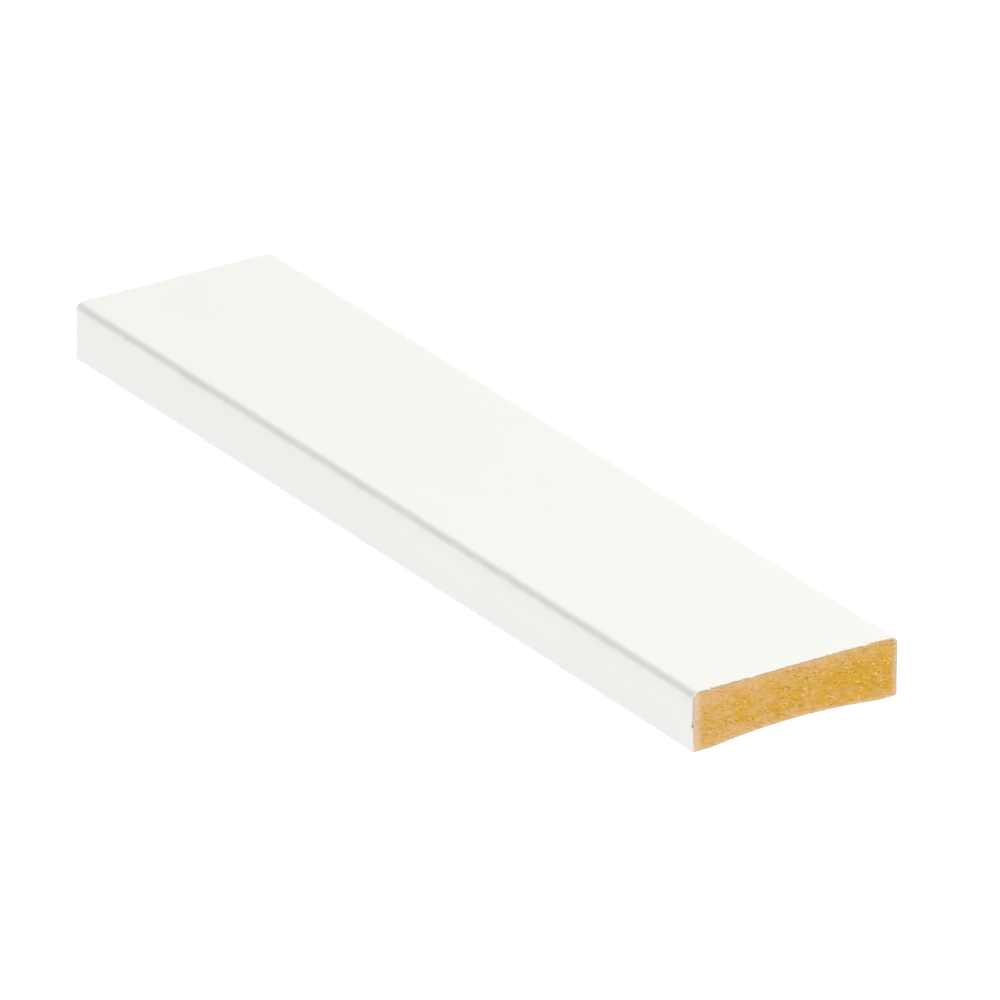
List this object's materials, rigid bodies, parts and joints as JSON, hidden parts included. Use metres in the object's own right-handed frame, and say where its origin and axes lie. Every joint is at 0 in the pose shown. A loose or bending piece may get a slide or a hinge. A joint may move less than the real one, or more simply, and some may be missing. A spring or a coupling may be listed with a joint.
{
  "type": "cover moulding",
  "caption": "Flat white cover moulding of fibreboard with eased face edges, a hollowed back and square sawn ends, for covering joints round doors and windows.",
  "frame": {"origin": "middle of the back plane, halfway along the strip, where the two feet of the back touch the wall or floor", "axes": "+X along the strip, +Y across its width, +Z out of the back towards the white face"},
  "size_m": [0.21, 0.045, 0.012],
  "materials": {
    "coated_board": "satin white paint on the face and both edges, bare tan fibreboard on the sawn ends and the back"
  },
  "bodies": {
    "root": {"moulding": "coated_board"}
  },
  "joints": []
}
